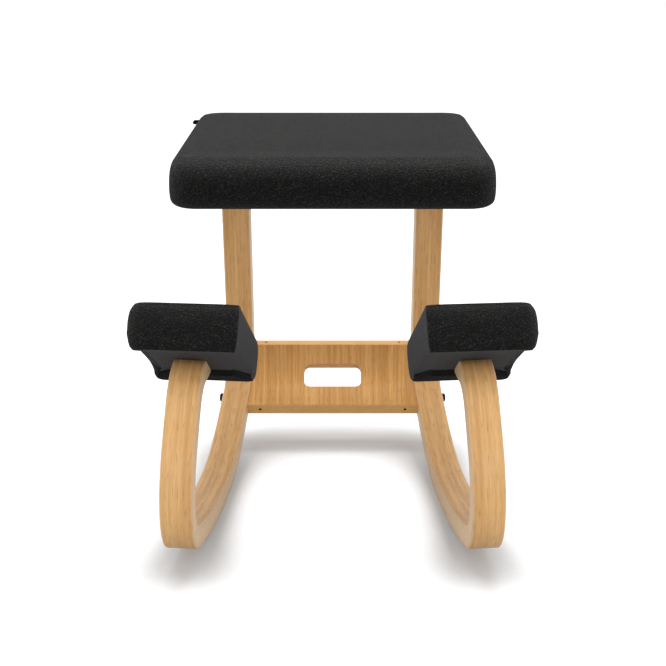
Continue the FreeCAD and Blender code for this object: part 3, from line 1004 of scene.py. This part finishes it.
def seat_loop():
    """Folded loop of cloth tape sewn into the seat's left side."""
    low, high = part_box("seat_tab")
    middle = (low + high) / 2
    reach = (high.x - low.x) / MM
    width = (high.y - low.y) / MM
    sewn_end = reach / 2 + loop_sewn_in
    profile = [(sewn_end, loop_bend)]
    for step in range(loop_bend_steps + 1):
        angle = math.radians(90 + 180 * step / loop_bend_steps)
        x = loop_bend * math.cos(angle) - reach / 2 + loop_bend
        profile.append((x, loop_bend * math.sin(angle)))
    profile.append((sewn_end, -loop_bend))
    points = []
    for column in range(loop_columns):
        share = column / (loop_columns - 1) - 0.5
        y = share * width * (1.0 - loop_narrowing * math.cos(share * math.pi))
        points.extend(Vector((x, y, z)) * MM + middle for x, z in profile)
    faces = []
    rows = len(profile)
    for column in range(loop_columns - 1):
        for row in range(rows - 1):
            first = column * rows + row
            faces.append([first, first + 1, first + rows + 1, first + rows])
    mesh = new_mesh("seat_loop", points, faces)
    store_vector(mesh, "weave", mesh_points(mesh) / MM)
    smooth(mesh, 60.0)
    loop = add_piece("seat_loop", mesh, band_cloth, ("seat_tab",))
    solid = loop.modifiers.new("thickness", "SOLIDIFY")
    solid.thickness = loop_thickness * MM
    solid.offset = 0.0


seat_loop()


# Domed heads of the panel bolts: radius and height above the solid's head, outside to middle
DOME = ((6.7, -2.8), (6.7, 0.6), (6.3, 1.5), (5.2, 2.2), (3.6, 2.6), (2.5, 2.7), (2.3, 2.4),
        (2.2, 0.8), (0.0, 0.8))
dome_segments = 30


def bolt_dome(node, name, outward):
    """Domed head with a socket, turned about the bolt's own axis."""
    low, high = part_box(node)
    half_length = (high.x - low.x) / 2 / abs(outward.x)
    place = Matrix.Translation((low + high) / 2 + outward * half_length)
    place = place @ outward.to_track_quat("Z", "Y").to_matrix().to_4x4() @ Matrix.Scale(MM, 4)
    points = []
    faces = []
    for radius, height in DOME[:-1]:
        for segment in range(dome_segments):
            angle = 2 * math.pi * segment / dome_segments
            points.append((radius * math.cos(angle), radius * math.sin(angle), height))
    points.append((0.0, 0.0, DOME[-1][1]))
    rings = len(DOME) - 1
    for ring in range(rings):
        for segment in range(dome_segments):
            first = ring * dome_segments + segment
            second = ring * dome_segments + (segment + 1) % dome_segments
            if ring < rings - 1:
                faces.append((first, second, second + dome_segments, first + dome_segments))
            else:
                faces.append((first, second, len(points) - 1))
    faces.append(tuple(reversed(range(dome_segments))))
    mesh = new_mesh(name, [place @ Vector(point) for point in points], faces)
    smooth(mesh, 35.0)
    add_piece(name, mesh, bolt_metal)


right_outward = (RUNNER_PLACE.to_3x3() @ Vector((1.0, 0.0, 0.0))).normalized()
left_outward = Vector((-right_outward.x, right_outward.y, right_outward.z))
for level in ("upper", "lower"):
    bolt_dome("panel_bolt_" + level + "_right", "bolt_dome_" + level + "_right", right_outward)
    bolt_dome("panel_bolt_" + level + "_left", "bolt_dome_" + level + "_left", left_outward)


# Carried-over solids

FINISHES = (
    ("bolt", bolt_metal),
    ("nut", nut_metal),
    ("insert", nut_metal),
    ("pin", pin_wood_painted_hole_shade),
    ("board", board_wood),
    ("foam", foam_cell),
    ("cover", seat_cloth),
    ("cloth", lining),
)
for node, obj in nodes.items():
    for word, material in FINISHES:
        if word in node.split("_"):
            dress(obj, material)
            break


# Floor, light and camera

floor_half = 14.0
floor_colour = (0.55, 0.56, 0.57)
# Painted contact shadow on the floor: reach, samples and limits of the occlusion, then the glow in
# full shade and in the open
shadow_reach = 0.22
shadow_samples = 16
shadow_limits = (0.60, 0.97)
shadow_glow = 0.15
floor_glow = 0.65
white = (1.0, 1.0, 1.0, 1.0)
world_strength = 0.72
seen_world_strength = 1.0

# Soft boxes: place, target, width, depth and watts
SOFT_BOXES = {
    "front_box": ((0.0, -2.9, 1.2), (0.0, 0.1, 0.2), 2.6, 1.5, 28.5),
    "top_box": ((0.0, 0.35, 2.2), (0.0, 0.0, 0.1), 1.5, 1.3, 28.0),
}

frame_pixels = 666.0
focal_pixels = 1780.0
shift_pixels = 0.4
film_width = 36.0
camera_place = (0.0, -2.476, 0.835)
camera_down = 13.2


def floor():
    """White to the camera, with a painted shadow near the chair from an ambient-occlusion term;
    other rays see a plain grey surface.
    """
    corners = [(-floor_half, -floor_half, 0.0), (floor_half, -floor_half, 0.0),
               (floor_half, floor_half, 0.0), (-floor_half, floor_half, 0.0)]
    obj = new_object("floor", new_mesh("floor", corners, [(0, 1, 2, 3)]))
    material, n = new_material("white_floor_painted_shadow")
    n.colour(floor_colour)
    n.set(Roughness=0.9, Specular_IOR_Level=0.1)
    # Painted shadow: the glow the camera sees is dimmed where ambient occlusion finds the chair
    # close by
    near = n.add("ShaderNodeAmbientOcclusion", Distance=shadow_reach)
    near.samples = shadow_samples
    openness = n.ramp(near.outputs["AO"], *shadow_limits)
    glow = n.math("MULTIPLY_ADD", openness, floor_glow, shadow_glow)
    n.set(Emission_Color=white, Emission_Strength=n.math("MULTIPLY", glow, n.seen_directly()))
    dress(obj, material)


def world_light():
    """White background that lights the chair a little less than it shows."""
    world = bpy.data.worlds.new("studio")
    bpy.context.scene.world = world
    world.use_nodes = True
    n = Nodes(world.node_tree, "Background")
    strength = n.add("ShaderNodeMapRange", Value=n.seen_directly(), To_Min=world_strength,
                     To_Max=seen_world_strength)
    n.set(Color=white, Strength=strength.outputs[0])


def soft_light(name, place, target, width, depth, watts):
    data = bpy.data.lights.new(name, "AREA")
    data.shape = "RECTANGLE"
    data.size = width
    data.size_y = depth
    data.energy = watts
    obj = new_object(name, data)
    obj.location = place
    aim = Vector(target) - Vector(place)
    obj.rotation_euler = aim.to_track_quat("-Z", "Y").to_euler()


floor()
world_light()
for name, box in SOFT_BOXES.items():
    soft_light(name, *box)

camera_data = bpy.data.cameras.new("camera")
camera_data.sensor_fit = "HORIZONTAL"
camera_data.sensor_width = film_width
camera_data.lens = focal_pixels / frame_pixels * film_width
camera_data.shift_x = shift_pixels / frame_pixels
camera_data.clip_end = 50.0
camera = new_object("camera", camera_data)
camera.location = camera_place
camera.rotation_euler = (math.radians(90.0 - camera_down), 0.0, 0.0)
bpy.context.scene.camera = camera
bpy.context.scene.view_settings.view_transform = "Standard"
